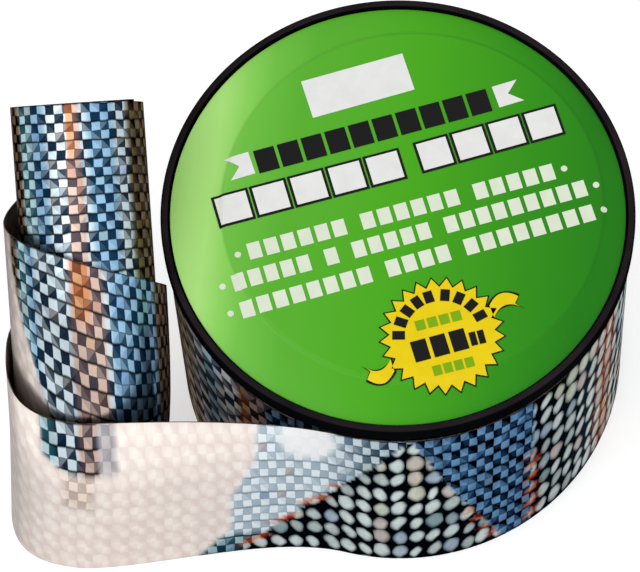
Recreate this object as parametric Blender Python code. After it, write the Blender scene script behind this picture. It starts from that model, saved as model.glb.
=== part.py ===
"""Bird scare tape: a full spool of reflective ribbon with its last turn loose and its end curled.

The spool stands on its rear flange with its axis along +Z and the origin on that axis, at the
floor. The ribbon leaves the front of the spool towards -X and winds up into a leaning ringlet.
All lengths are metres.
"""
import math

import bmesh
import bpy
import numpy as np
from mathutils import Vector
from mathutils.bvhtree import BVHTree

MM = 0.001
DEG = math.radians(1)

# The ribbon as sold, and how it is wound
TAPE_WIDTH = 50.8 * MM
TAPE_LENGTH = 38100 * MM
FOIL_THICKNESS = 0.0413 * MM
CLEARANCE = 0.3 * MM

# Cardboard core
CORE_BORE_RADIUS = 25.4 * MM
CORE_WALL = 1.5 * MM
CORE_CHAMFER = 0.3 * MM

# Moulded flanges
FRONT_OVERHANG = 1.0 * MM
REAR_INSET = 0.1 * MM
REAR_THICKNESS = 1.4 * MM
REAR_EDGE_ROUND = 0.4 * MM
FRONT_THICKNESS = 2.1 * MM
RIM_RISE = 1.2 * MM
RIM_RING = 1.15 * MM
RIM_ROUND = 0.45 * MM
RIM_INNER_ROUND = 0.25 * MM
PLATEAU_RADIUS = 28.8 * MM
PLATEAU_RISE = 0.35 * MM
PLATEAU_SLOPE = 0.5 * MM

# Plug that each flange pushes into the core
SPIGOT_WALL = 1.6 * MM
SPIGOT_DEPTH = 9.0 * MM
SPIGOT_LEAD_IN = 0.8 * MM
HUB_WEB = 3.6 * MM
POCKET_DEPTH = 2.2 * MM
POCKET_MARGIN = 0.8 * MM
BOSS_RADIUS = 6.0 * MM
RIB_THICKNESS = 1.6 * MM
RIB_COUNT = 6

# Printed label on the front flange
LABEL_THICKNESS = 0.25 * MM
LABEL_EDGE_GAP = 0.3 * MM

# Loose ribbon: the film is drawn thicker than it is, so that it is one closed solid
FILM = 0.2 * MM
FILM_FLOOR_GAP = 0.02 * MM
TURN_START = 240 * DEG
TURN_LEAVES = -108 * DEG
SKIRT = 0.85 * MM
SKIRT_BUILDS_UP_SHARE = 0.6
RUN_PULL_SHARE = 0.9

# Ringlet: a tapering helix round an axis that stands at the floor and leans back higher up
RINGLET_GAP = 3.7 * MM
RINGLET_SETBACK = 1.15 * MM
RINGLET_RADIUS = 12.7 * MM
RINGLET_TOP_RADIUS = 9.4 * MM
RINGLET_RISE = 36.2 * MM
RISE_START_TURN = 0.25
RISE_END_TURN = 2.0
LAST_TURN = 2.75
BASE_LEAN = 2 * DEG
TOP_LEAN = 63.3 * DEG
BASE_SWAY = 5.6 * DEG
TOP_SWAY = 0.1 * DEG
BEND_START_SHARE = 0.55
BEND_END_SHARE = 1.33

# Corner where the ribbon first turns back, bulging out past the ringlet's round
CORNER_BULGE = 1.2 * MM
CORNER_TURN = 0.15
CORNER_REACH = 0.12

# Turn count against the share of the rise, and against the share of the taper, at that turn
RISE_SHARES = ((RISE_START_TURN, 0.0), (0.75, 0.222), (1.25, 0.532), (1.75, 0.986),
               (RISE_END_TURN, 1.0), (LAST_TURN, 1.0))
TAPER_SHARES = ((0.0, 0.0), (0.25, 0.1), (0.5, 0.11), (0.75, 0.19), (1.25, 0.32), (1.5, 0.5),
                (2.25, 1.0), (LAST_TURN, 1.1))

# How finely round things are drawn
ROUND_SEGMENTS = 72
FILLET_STEPS = 3
TURN_STEPS = 60
RUN_STEPS = 18
RINGLET_STEPS_PER_TURN = 44
WIDTH_STEPS = 7
AXIS_STEPS = 900
SHARP_ANGLE = 35 * DEG
CUT_OVERRUN = 1.0 * MM

# Worked out from the driving dimensions
CORE_RADIUS = CORE_BORE_RADIUS + CORE_WALL
WINDING_BORE = CORE_RADIUS + CLEARANCE
WINDING_RADIUS = math.sqrt(CORE_RADIUS ** 2 + TAPE_LENGTH * FOIL_THICKNESS / math.pi)
FRONT_RADIUS = WINDING_RADIUS + FRONT_OVERHANG
REAR_RADIUS = WINDING_RADIUS - REAR_INSET
SPIGOT_RADIUS = CORE_BORE_RADIUS - CLEARANCE
SPIGOT_BORE = SPIGOT_RADIUS - SPIGOT_WALL
WINDING_BOTTOM = REAR_THICKNESS + CLEARANCE
WINDING_TOP = WINDING_BOTTOM + TAPE_WIDTH
FRONT_UNDERSIDE = WINDING_TOP + CLEARANCE
FRONT_FACE = FRONT_UNDERSIDE + FRONT_THICKNESS
RIM_TOP = FRONT_FACE + RIM_RISE
LABEL_RADIUS = FRONT_RADIUS - RIM_RING - LABEL_EDGE_GAP
TURN_RADIUS = WINDING_RADIUS + CLEARANCE + FILM / 2
RINGLET_X = -(FRONT_RADIUS + RINGLET_GAP + RINGLET_RADIUS)
RINGLET_Y = RINGLET_RADIUS - TURN_RADIUS + RINGLET_SETBACK
BEND_START = TAPE_WIDTH * BEND_START_SHARE
BEND_END = TAPE_WIDTH * BEND_END_SHARE
RINGLET_PITCH = RINGLET_RISE / (RISE_END_TURN - RISE_START_TURN)


# Materials

def material(name, colour, roughness, metallic=0.0):
    """A plain surface of one colour."""
    made = bpy.data.materials.new(name)
    made.use_nodes = True
    surface = made.node_tree.nodes["Principled BSDF"]
    surface.inputs["Base Color"].default_value = (*colour, 1.0)
    surface.inputs["Roughness"].default_value = roughness
    surface.inputs["Metallic"].default_value = metallic
    made.diffuse_color = (*colour, 1.0)
    return made


# Turned solids

def fillet(before, corner, after, radius):
    """Points of an arc of the given radius that rounds one corner of an outline."""
    corner = Vector(corner)
    to_before = (Vector(before) - corner).normalized()
    to_after = (Vector(after) - corner).normalized()
    half = to_before.angle(to_after) / 2
    reach = radius / math.tan(half)
    centre = corner + (to_before + to_after).normalized() * radius / math.sin(half)
    first = corner + to_before * reach - centre
    last = corner + to_after * reach - centre
    return [tuple(centre + first.slerp(last, step / FILLET_STEPS).normalized() * radius)
            for step in range(FILLET_STEPS + 1)]


def outline(corners):
    """Profile points from (radius, height) or (radius, height, fillet radius) corners."""
    points = []
    for index, corner in enumerate(corners):
        if len(corner) == 2:
            points.append(corner)
            continue
        before = corners[index - 1][:2]
        after = corners[(index + 1) % len(corners)][:2]
        points.extend(fillet(before, corner[:2], after, corner[2]))
    return points


def turned(name, corners, surface):
    """A solid of revolution about Z; a profile that starts and ends at radius 0 closes on the axis."""
    profile = outline(corners)
    shape = bmesh.new()
    rings = []
    for radius, height in profile:
        if radius == 0:
            rings.append([shape.verts.new((0, 0, height))])
            continue
        rings.append([shape.verts.new((radius * math.cos(angle), radius * math.sin(angle), height))
                      for angle in np.linspace(0, 2 * math.pi, ROUND_SEGMENTS, endpoint=False)])
    solid_core = profile[0][0] == 0
    pairs = list(zip(rings, rings[1:])) if solid_core else list(zip(rings, rings[1:] + rings[:1]))
    for low, high in pairs:
        for step in range(ROUND_SEGMENTS):
            after = (step + 1) % ROUND_SEGMENTS
            corners_of_face = [low[step % len(low)], low[after % len(low)],
                               high[after % len(high)], high[step % len(high)]]
            shape.faces.new(list(dict.fromkeys(corners_of_face)))
    return finish(name, shape, surface)


def finish(name, shape, surface):
    """Turns a bmesh into a named, smoothly shaded object."""
    bmesh.ops.recalc_face_normals(shape, faces=shape.faces)
    mesh = bpy.data.meshes.new(name)
    shape.to_mesh(mesh)
    shape.free()
    mesh.materials.append(surface)
    mesh.shade_smooth()
    mesh.set_sharp_from_angle(angle=SHARP_ANGLE)
    made = bpy.data.objects.new(name, mesh)
    bpy.context.collection.objects.link(made)
    return made


def cut(body, cutter):
    """Takes the cutter's shape away from the body."""
    cutter.hide_render = True
    cutter.display_type = "WIRE"
    step = body.modifiers.new(cutter.name, "BOOLEAN")
    step.operation = "DIFFERENCE"
    step.solver = "EXACT"
    step.object = cutter


def hub_pockets(name, mouth, direction, surface):
    """Cutter for the pockets that leave a boss and radial ribs on a hub web.

    The pockets open at height mouth and go POCKET_DEPTH deep along direction (+1 up, -1 down).
    """
    inner = BOSS_RADIUS
    outer = SPIGOT_BORE - POCKET_MARGIN
    near = mouth - direction * CUT_OVERRUN
    far = mouth + direction * POCKET_DEPTH
    shape = bmesh.new()
    for pocket in range(RIB_COUNT):
        start = 2 * math.pi * pocket / RIB_COUNT
        end = 2 * math.pi * (pocket + 1) / RIB_COUNT
        corners = []
        for radius, reverse in ((inner, False), (outer, True)):
            aside = math.asin(RIB_THICKNESS / 2 / radius)
            steps = max(3, round(ROUND_SEGMENTS / RIB_COUNT / (1 if reverse else 2)))
            angles = np.linspace(start + aside, end - aside, steps)
            arc = [(radius * math.cos(angle), radius * math.sin(angle)) for angle in angles]
            corners.extend(reversed(arc) if reverse else arc)
        base = shape.faces.new([shape.verts.new((x, y, near)) for x, y in corners])
        grown = bmesh.ops.extrude_face_region(shape, geom=[base])
        moved = [item for item in grown["geom"] if isinstance(item, bmesh.types.BMVert)]
        bmesh.ops.translate(shape, verts=moved, vec=(0, 0, far - near))
    return finish(name, shape, surface)


# Spool pieces

def make_rear_flange(surface):
    """Thin disc with a plug for the core; its hub is ribbed on the outside, flush with the disc."""
    tip = REAR_THICKNESS + SPIGOT_DEPTH
    flange = turned("rear_flange", [
        (0, HUB_WEB),
        (SPIGOT_BORE, HUB_WEB),
        (SPIGOT_BORE, tip),
        (SPIGOT_RADIUS - SPIGOT_LEAD_IN, tip),
        (SPIGOT_RADIUS, tip - SPIGOT_LEAD_IN),
        (SPIGOT_RADIUS, REAR_THICKNESS),
        (REAR_RADIUS, REAR_THICKNESS, REAR_EDGE_ROUND),
        (REAR_RADIUS, 0, REAR_EDGE_ROUND),
        (0, 0),
    ], surface)
    cut(flange, hub_pockets("rear_hub_pockets", 0, 1, surface))
    return flange


def make_front_flange(surface):
    """Disc with a raised rim round the label's seat, a plateau in the seat and a plug below."""
    hub_under = FRONT_FACE + PLATEAU_RISE - HUB_WEB
    tip = FRONT_UNDERSIDE - SPIGOT_DEPTH
    rim_inner = FRONT_RADIUS - RIM_RING
    flange = turned("front_flange", [
        (0, FRONT_FACE + PLATEAU_RISE),
        (PLATEAU_RADIUS, FRONT_FACE + PLATEAU_RISE),
        (PLATEAU_RADIUS + PLATEAU_SLOPE, FRONT_FACE),
        (rim_inner, FRONT_FACE),
        (rim_inner, RIM_TOP, RIM_INNER_ROUND),
        (FRONT_RADIUS, RIM_TOP, RIM_ROUND),
        (FRONT_RADIUS, FRONT_UNDERSIDE, RIM_ROUND),
        (SPIGOT_RADIUS, FRONT_UNDERSIDE),
        (SPIGOT_RADIUS, tip + SPIGOT_LEAD_IN),
        (SPIGOT_RADIUS - SPIGOT_LEAD_IN, tip),
        (SPIGOT_BORE, tip),
        (SPIGOT_BORE, hub_under),
        (0, hub_under),
    ], surface)
    cut(flange, hub_pockets("front_hub_pockets", hub_under, 1, surface))
    return flange


def make_core_tube(surface):
    """Cardboard tube between the flanges, on the two plugs."""
    low, high = WINDING_BOTTOM, WINDING_TOP
    return turned("core_tube", [
        (CORE_BORE_RADIUS, low + CORE_CHAMFER),
        (CORE_BORE_RADIUS + CORE_CHAMFER, low),
        (CORE_RADIUS - CORE_CHAMFER, low),
        (CORE_RADIUS, low + CORE_CHAMFER),
        (CORE_RADIUS, high - CORE_CHAMFER),
        (CORE_RADIUS - CORE_CHAMFER, high),
        (CORE_BORE_RADIUS + CORE_CHAMFER, high),
        (CORE_BORE_RADIUS, high - CORE_CHAMFER),
    ], surface)


def make_tape_winding(surface):
    """The tight turns of ribbon, as one ring whose section is the ribbon's length times its foil."""
    return turned("tape_winding", [
        (WINDING_BORE, WINDING_BOTTOM),
        (WINDING_RADIUS, WINDING_BOTTOM),
        (WINDING_RADIUS, WINDING_TOP),
        (WINDING_BORE, WINDING_TOP),
    ], surface)


def make_front_label(surface):
    """Round printed label that follows the plateau in its seat."""
    low = FRONT_FACE + CLEARANCE
    high = low + LABEL_THICKNESS
    return turned("front_label", [
        (0, high + PLATEAU_RISE),
        (PLATEAU_RADIUS, high + PLATEAU_RISE),
        (PLATEAU_RADIUS + PLATEAU_SLOPE, high),
        (LABEL_RADIUS, high),
        (LABEL_RADIUS, low),
        (PLATEAU_RADIUS + PLATEAU_SLOPE, low),
        (PLATEAU_RADIUS, low + PLATEAU_RISE),
        (0, low + PLATEAU_RISE),
    ], surface)


# Loose ribbon

def smooth_step(share):
    """0 below 0, 1 above 1, and level at both ends."""
    share = np.clip(share, 0.0, 1.0)
    return share * share * (3 - 2 * share)


def smooth_table(table, at):
    """Value at a place in a rising table, along a curve that never overshoots its points."""
    places = [place for place, _ in table]
    values = [value for _, value in table]
    slopes = [(values[i + 1] - values[i]) / (places[i + 1] - places[i]) for i in range(len(table) - 1)]
    tangents = [slopes[0]]
    for before, after in zip(slopes, slopes[1:]):
        level = before * after <= 0
        tangents.append(0.0 if level else 2 * before * after / (before + after))
    tangents.append(slopes[-1])
    at = min(max(at, places[0]), places[-1])
    spot = min(int(np.searchsorted(places, at, side="right")) - 1, len(table) - 2)
    span = places[spot + 1] - places[spot]
    t = (at - places[spot]) / span
    return ((2 * t**3 - 3 * t**2 + 1) * values[spot] + (t**3 - 2 * t**2 + t) * span * tangents[spot]
            + (3 * t**2 - 2 * t**3) * values[spot + 1] + (t**3 - t**2) * span * tangents[spot + 1])


def lean_at(height):
    """How far the ringlet's axis leans back, at a length along it."""
    return BASE_LEAN + (TOP_LEAN - BASE_LEAN) * smooth_step((height - BEND_START) / (BEND_END - BEND_START))


def sway_at(height):
    """How far the ringlet's axis leans sideways, at a length along it."""
    return BASE_SWAY + (TOP_SWAY - BASE_SWAY) * smooth_step((height - BEND_START) / (BEND_END - BEND_START))


class Ringlet:
    """The wall that the ribbon winds up on, round a curved axis measured by length from the floor."""

    def __init__(self):
        self.lengths = np.linspace(-RINGLET_RADIUS, 2 * TAPE_WIDTH + RINGLET_RISE, AXIS_STEPS)
        self.lean, self.sway = lean_at(self.lengths), sway_at(self.lengths)
        ahead = np.stack([np.sin(self.sway), np.cos(self.sway) * np.sin(self.lean),
                          np.cos(self.sway) * np.cos(self.lean)], axis=1)
        step = self.lengths[1] - self.lengths[0]
        path = np.vstack([np.zeros(3), np.cumsum((ahead[1:] + ahead[:-1]) / 2 * step, axis=0)])
        floor = np.array([np.interp(0.0, self.lengths, path[:, k]) for k in range(3)])
        self.path = path - floor + np.array([RINGLET_X, RINGLET_Y, FILM_FLOOR_GAP])
        self.first_top = self.top_of_first_turn()

    def radius(self, turn):
        """Radius after so many turns: the taper, and the corner in the first turn."""
        taper = (RINGLET_RADIUS - RINGLET_TOP_RADIUS) * smooth_table(TAPER_SHARES, turn)
        corner = CORNER_BULGE * smooth_step(1 - abs(turn - CORNER_TURN) / CORNER_REACH)
        return RINGLET_RADIUS - taper + corner

    def wall(self, turn):
        """Distances up the wall at the axis lengths, and the distance where it meets the floor."""
        angle, radius = 2 * math.pi * turn, self.radius(turn)
        along = self.lengths + radius * (math.cos(angle) * self.lean + math.sin(angle) * self.sway)
        floor = -radius * (math.cos(angle) * math.tan(BASE_LEAN) + math.sin(angle) * math.tan(BASE_SWAY))
        return along, float(np.interp(floor, self.lengths, along))

    def top_of_first_turn(self):
        """Axis length of the ribbon's top edge where the rise starts."""
        along, floor = self.wall(RISE_START_TURN)
        return float(np.interp(floor + TAPE_WIDTH, along, self.lengths))

    def point(self, length, turn):
        """Point of the wall; turn 0 faces the front (-Y) and a quarter turn faces -X."""
        centre = np.array([np.interp(length, self.lengths, self.path[:, k]) for k in range(3)])
        lean, sway = lean_at(length), sway_at(length)
        front = np.array([0.0, -math.cos(lean), math.sin(lean)])
        left = np.array([-math.cos(sway), math.sin(lean) * math.sin(sway), math.cos(lean) * math.sin(sway)])
        angle = 2 * math.pi * turn
        return centre + self.radius(turn) * (math.cos(angle) * front + math.sin(angle) * left)

    def row(self, turn):
        """Points across the ribbon, bottom edge first: it stands on the floor, then climbs."""
        along, low = self.wall(turn)
        high = low + TAPE_WIDTH
        if turn > RISE_START_TURN:
            top = self.first_top + RINGLET_RISE * smooth_table(RISE_SHARES, turn)
            high = float(np.interp(top, self.lengths, along))
            climb = RINGLET_PITCH / (2 * math.pi * self.radius(turn)) * smooth_step(turn / RISE_START_TURN - 1)
            low = max(high - TAPE_WIDTH * math.hypot(1, climb), low)
        places = np.linspace(low, high, WIDTH_STEPS + 1)
        return [self.point(float(np.interp(place, along, self.lengths)), turn) for place in places]


def turn_row(share):
    """Points across the ribbon on its loose turn round the spool, and the way it runs there."""
    angle = TURN_START + (TURN_LEAVES - TURN_START) * share
    points = []
    for step in range(WIDTH_STEPS + 1):
        up = step / WIDTH_STEPS
        radius = TURN_RADIUS + SKIRT * (1 - up) * smooth_step(share / SKIRT_BUILDS_UP_SHARE)
        points.append(np.array([radius * math.cos(angle), radius * math.sin(angle),
                                FILM_FLOOR_GAP + TAPE_WIDTH * up]))
    return points, np.array([math.sin(angle), -math.cos(angle), 0.0])


def run_row(start, start_way, end, end_way, share):
    """Points across the ribbon on its free run from the spool to the ringlet."""
    points = []
    for step in range(WIDTH_STEPS + 1):
        span = np.linalg.norm(end[step] - start[step]) * RUN_PULL_SHARE
        t = share
        points.append((2 * t**3 - 3 * t**2 + 1) * start[step] + (t**3 - 2 * t**2 + t) * span * start_way
                      + (3 * t**2 - 2 * t**3) * end[step] + (t**3 - t**2) * span * end_way[step])
    return points


def ribbon_rows():
    """Every row of points across the loose ribbon, from the spool to the ringlet's free end."""
    ringlet = Ringlet()
    steps = round(LAST_TURN * RINGLET_STEPS_PER_TURN)
    curl = [ringlet.row(LAST_TURN * step / steps) for step in range(steps + 1)]
    curl_way = [(after - point) / np.linalg.norm(after - point) for point, after in zip(*curl[:2])]
    turn = [turn_row(step / TURN_STEPS)[0] for step in range(TURN_STEPS + 1)]
    turn_way = turn_row(1)[1]
    run = [run_row(turn[-1], turn_way, curl[0], curl_way, step / RUN_STEPS) for step in range(1, RUN_STEPS)]
    return turn + run + curl


def make_loose_tape(surface):
    """The last turn, the free run and the ringlet, as one unbroken strip of film."""
    rows = ribbon_rows()
    shape = bmesh.new()
    grid = [[shape.verts.new(Vector(point)) for point in row] for row in rows]
    for row, following in zip(grid, grid[1:]):
        for step in range(WIDTH_STEPS):
            shape.faces.new((row[step], row[step + 1], following[step + 1], following[step]))
    tape = finish("tape_loose_end", shape, surface)
    skin = tape.modifiers.new("film", "SOLIDIFY")
    skin.thickness = FILM
    skin.offset = 0.0
    skin.use_even_offset = True
    report_gaps(rows)
    return tape


def report_gaps(rows):
    """Prints the least gap of the loose film to itself, and of its ringlet to the spool."""
    points = [Vector(point) for row in rows for point in row]
    across = WIDTH_STEPS + 1
    faces = [(i * across + k, i * across + k + 1, (i + 1) * across + k + 1, (i + 1) * across + k)
             for i in range(len(rows) - 1) for k in range(WIDTH_STEPS)]
    film = BVHTree.FromPolygons(points, faces)
    apart = RINGLET_STEPS_PER_TURN // 3
    to_itself = min(distance for i, row in enumerate(rows) for point in row
                    for _, _, face, distance in film.find_nearest_range(Vector(point), RINGLET_RADIUS / 2)
                    if abs(face // WIDTH_STEPS - i) > apart)
    print(f"Least gap of the loose film to itself: {(to_itself - FILM) / MM:.2f} mm")
    spool = ((WINDING_RADIUS, WINDING_BOTTOM, WINDING_TOP), (FRONT_RADIUS, FRONT_UNDERSIDE, RIM_TOP))
    to_spool = min(math.hypot(max(math.hypot(point.x, point.y) - radius, 0),
                              max(low - point.z, point.z - high, 0))
                   for point in points[(TURN_STEPS + RUN_STEPS) * across:] for radius, low, high in spool)
    print(f"Least gap of the ringlet to the spool: {(to_spool - FILM / 2) / MM:.2f} mm")


def main():
    """Builds the whole spool in a scene with no other objects."""
    for old in list(bpy.data.objects):
        bpy.data.objects.remove(old, do_unlink=True)
    black = material("black_plastic", (0.02, 0.02, 0.022), 0.35)
    board = material("core_board", (0.45, 0.32, 0.2), 0.85)
    green = material("label_print", (0.1, 0.42, 0.03), 0.3)
    foil = material("wound_foil", (0.62, 0.68, 0.72), 0.25, 1.0)
    loose_foil = material("loose_foil", (0.66, 0.72, 0.76), 0.2, 1.0)
    make_rear_flange(black)
    make_front_flange(black)
    make_core_tube(board)
    make_tape_winding(foil)
    make_front_label(green)
    make_loose_tape(loose_foil)


main()
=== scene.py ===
import math

import bmesh
import bpy
import numpy as np
from mathutils import Matrix, Vector


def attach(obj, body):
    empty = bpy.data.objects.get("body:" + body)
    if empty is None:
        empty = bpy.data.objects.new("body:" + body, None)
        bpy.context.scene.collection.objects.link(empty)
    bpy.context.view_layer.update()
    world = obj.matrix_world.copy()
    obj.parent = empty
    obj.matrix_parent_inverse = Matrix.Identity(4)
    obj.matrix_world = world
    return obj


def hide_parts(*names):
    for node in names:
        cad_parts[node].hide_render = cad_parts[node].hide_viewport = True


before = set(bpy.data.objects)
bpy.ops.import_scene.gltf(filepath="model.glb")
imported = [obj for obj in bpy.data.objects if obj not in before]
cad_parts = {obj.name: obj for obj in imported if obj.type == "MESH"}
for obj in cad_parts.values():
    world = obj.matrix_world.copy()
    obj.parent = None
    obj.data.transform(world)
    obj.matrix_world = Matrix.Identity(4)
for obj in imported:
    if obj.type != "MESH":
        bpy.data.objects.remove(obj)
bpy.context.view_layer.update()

MM = 0.001
DEG = math.radians(1)

# Spool, as in the part's source
TAPE_WIDTH = 50.8 * MM
WOUND_LENGTH = 38100 * MM
WOUND_THICKNESS = 0.0413 * MM
CORE_RADIUS = 26.9 * MM
WINDING_BORE = 27.2 * MM
WINDING_RADIUS = math.sqrt(CORE_RADIUS ** 2 + WOUND_LENGTH * WOUND_THICKNESS / math.pi)
WINDING_BOTTOM = 1.7 * MM
WINDING_TOP = WINDING_BOTTOM + TAPE_WIDTH
FRONT_RADIUS = WINDING_RADIUS + 1.0 * MM
FRONT_UNDERSIDE = WINDING_TOP + 0.3 * MM
FRONT_FACE = FRONT_UNDERSIDE + 2.1 * MM
RIM_TOP = FRONT_FACE + 1.2 * MM
RIM_RING = 1.15 * MM
RIM_ROUND = 0.45 * MM
RIM_INNER_ROUND = 0.25 * MM
RIM_FOOT_ROUND = 0.2 * MM
PLATEAU_RADIUS = 28.8 * MM
PLATEAU_SLOPE = 0.5 * MM
PLATEAU_RISE = 0.35 * MM
REAR_RADIUS = WINDING_RADIUS - 0.1 * MM
REAR_THICKNESS = 1.4 * MM
REAR_EDGE_ROUND = 0.4 * MM
SPIGOT_RADIUS = 25.1 * MM
SPIGOT_WALL = 1.6 * MM
SPIGOT_DEPTH = 9.0 * MM
SPIGOT_CHAMFER = 0.8 * MM
HUB_WEB = 3.6 * MM
POCKET_RADIUS = SPIGOT_RADIUS - SPIGOT_WALL - 0.8 * MM
POCKET_DEPTH = 2.2 * MM
POCKET_ROUND = 0.2 * MM
BOSS_RADIUS = 6.0 * MM
RIB_THICKNESS = 1.6 * MM
RIB_SETBACK = 0.03 * MM
RIB_ROOT = 0.2 * MM
LABEL_RADIUS = FRONT_RADIUS - RIM_RING - 0.3 * MM
LABEL_BOTTOM = FRONT_FACE + 0.3 * MM
LABEL_TOP = LABEL_BOTTOM + 0.25 * MM
LABEL_EDGE_ROUND = 0.08 * MM
LABEL_STEP_ROUND = 0.26 * MM
ROUND_SIDES = 256
WINDING_SIDES = 360
BOSS_SIDES = 96

# The label's raised middle shows off-centre; its step reaches this far to either side
PLATEAU_SHIFT = (2.3 * MM, 1.1 * MM)
STEP_MARGIN = 0.5 * MM

# How far the inks stand off the label: the lowest, one printed over it, and one over both
LIFTS = (0.05 * MM, 0.1 * MM, 0.15 * MM)
INK_THICKNESS = 0.02 * MM
# How fine a piece of print is cut where it lies over the step
STEP_CUT = 0.28 * MM
# Gap between groups of blocks, in blocks
GROUP_GAP = 0.7

# Loose film, as in the part's source
FILM = 0.16 * MM
FILM_FLOOR_GAP = 0.02 * MM
TURN_RADIUS = WINDING_RADIUS + 0.3 * MM + 0.1 * MM
TURN_START = 240 * DEG
TURN_LEAVES = -108 * DEG
SKIRT = 0.85 * MM
SKIRT_BUILDS_UP_SHARE = 0.6
RUN_PULL_SHARE = 0.9
RINGLET_RADIUS = 12.7 * MM
RINGLET_TOP_RADIUS = 9.4 * MM
RINGLET_RISE = 36.2 * MM
RISE_START_TURN = 0.25
RISE_END_TURN = 2.0
LAST_TURN = 2.75
BASE_LEAN, TOP_LEAN = 2 * DEG, 63.3 * DEG
BASE_SWAY, TOP_SWAY = 5.6 * DEG, 0.1 * DEG
RINGLET_X = -(FRONT_RADIUS + 3.7 * MM + RINGLET_RADIUS)
RINGLET_Y = RINGLET_RADIUS - TURN_RADIUS + 1.15 * MM
BEND_START = TAPE_WIDTH * 0.55
BEND_END = TAPE_WIDTH * 1.33
CORNER_BULGE = 1.2 * MM
CORNER_TURN = 0.15
CORNER_REACH = 0.12
RINGLET_PITCH = RINGLET_RISE / (RISE_END_TURN - RISE_START_TURN)
RISE_SHARES = ((0.25, 0.0), (0.75, 0.222), (1.25, 0.532), (1.75, 0.986), (2.0, 1.0), (2.75, 1.0))
TAPER_SHARES = ((0.0, 0.0), (0.25, 0.1), (0.5, 0.11), (0.75, 0.19), (1.25, 0.32), (1.5, 0.5),
                (2.25, 1.0), (2.75, 1.1))
TURN_STEPS = 300
RUN_STEPS = 60
RINGLET_STEPS_PER_TURN = 150
WIDTH_STEPS = 40
AXIS_STEPS = 900

# Facets pressed into the film: their size along it, and across it where it stands upright
FACET = 1.36 * MM
UPRIGHT_FACET = 3.15 * MM
FACET_SPREAD = 23.2 * DEG
# They look longer round the roll's left side: by how much, and the angles between which, in degrees
SIDE_STRETCH = 1.1
STRETCH_STARTS, STRETCH_FULL, STRETCH_FADES, STRETCH_ENDS = 234, 204, 170, 150
# Beads are two facets wide; from this one on they lean the other way
BEADS_TURN_AT = 77


def mm(*values):
    """A place given in millimetres."""
    return tuple(value * MM for value in values)


# Shaping by hand

def clear_selection():
    """Back to object mode with nothing selected."""
    if bpy.context.object is not None and bpy.context.object.mode == "EDIT":
        bpy.ops.object.mode_set(mode="OBJECT")
    bpy.ops.object.select_all(action="DESELECT")


def start_piece(name):
    """Names the primitive just added, settles its place into its mesh and opens it for editing."""
    piece = bpy.context.object
    piece.name = piece.data.name = name
    bpy.ops.object.transform_apply(location=True, rotation=True, scale=True)
    bpy.ops.object.mode_set(mode="EDIT")
    return piece


def start_disc(name, radius, low, high, sides=ROUND_SIDES):
    """Adds a cylinder on the spool's axis between two heights and opens it for editing."""
    clear_selection()
    bpy.ops.mesh.primitive_cylinder_add(vertices=sides, radius=radius, depth=high - low,
                                        location=(0, 0, (low + high) / 2))
    return start_piece(name)


def pick(piece, kind, wanted):
    """Selects the piece's wanted vertices (VERT), edges (EDGE) or faces (FACE)."""
    bpy.ops.mesh.select_mode(type=kind)
    bpy.ops.mesh.select_all(action="DESELECT")
    shape = bmesh.from_edit_mesh(piece.data)
    for element in {"VERT": shape.verts, "EDGE": shape.edges, "FACE": shape.faces}[kind]:
        if wanted(element):
            element.select_set(True)
    bmesh.update_edit_mesh(piece.data)


def pick_level_faces(piece, way):
    """Selects the faces that look straight up (1) or down (-1)."""
    pick(piece, "FACE", lambda face: face.normal.z * way > 0.9)


def pick_edges(piece, wanted):
    """Selects the edges whose two ends are wanted."""
    pick(piece, "EDGE", lambda edge: all(wanted(end.co) for end in edge.verts))


def on_circle(radius, height, near=0.02 * MM):
    """Test for a point on the level circle of that radius and height round the spool's axis."""
    return lambda point: abs(point.xy.length - radius) < near and abs(point.z - height) < near


def step_in(ring, rise):
    """Leaves a ring of that width round the picked faces and extrudes the rest along the spool's axis."""
    bpy.ops.mesh.inset(thickness=ring)
    bpy.ops.mesh.extrude_region_move(TRANSFORM_OT_translate={"value": (0, 0, rise)})


def round_edges(piece, *edges):
    """Rounds circular edges, each given by its radius, its height, its rounding and the segments of that."""
    for radius, height, width, segments in edges:
        pick_edges(piece, on_circle(radius, height))
        bpy.ops.mesh.bevel(offset=width, offset_type="OFFSET", segments=segments, affect="EDGES")


def apply_modifier(piece, kind, **settings):
    """Adds a modifier with these settings and applies it."""
    step = piece.modifiers.new(kind.lower(), kind)
    for setting, value in settings.items():
        setattr(step, setting, value)
    bpy.context.view_layer.objects.active = piece
    bpy.ops.object.modifier_apply(modifier=step.name)


def finish_piece(piece, surface, body, sharp=30 * DEG):
    """Closes the piece's editing, smooths it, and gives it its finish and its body."""
    clear_selection()
    piece.select_set(True)
    bpy.context.view_layer.objects.active = piece
    bpy.ops.object.shade_smooth_by_angle(angle=sharp)
    if not piece.data.materials:
        piece.data.materials.append(surface)
    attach(piece, body)


# Finishes

def colour(red, green, blue):
    """A colour from its 0 to 255 screen values."""
    shares = (red / 255, green / 255, blue / 255)
    return tuple(share / 12.92 if share <= 0.04045 else ((share + 0.055) / 1.055) ** 2.4 for share in shares)


class Number:
    """A number that a node gives; sums with it add the nodes that work them out."""

    def __init__(self, nodes, socket):
        self.nodes, self.socket = nodes, socket

    def __add__(self, other):
        return self.nodes.math("ADD", self, other)

    def __sub__(self, other):
        return self.nodes.math("SUBTRACT", self, other)

    def __rsub__(self, other):
        return self.nodes.math("SUBTRACT", other, self)

    def __mul__(self, other):
        return self.nodes.math("MULTIPLY", self, other)

    def __pow__(self, other):
        return self.nodes.math("POWER", self, other)

    def __abs__(self):
        return self.nodes.math("ABSOLUTE", self)


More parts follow.
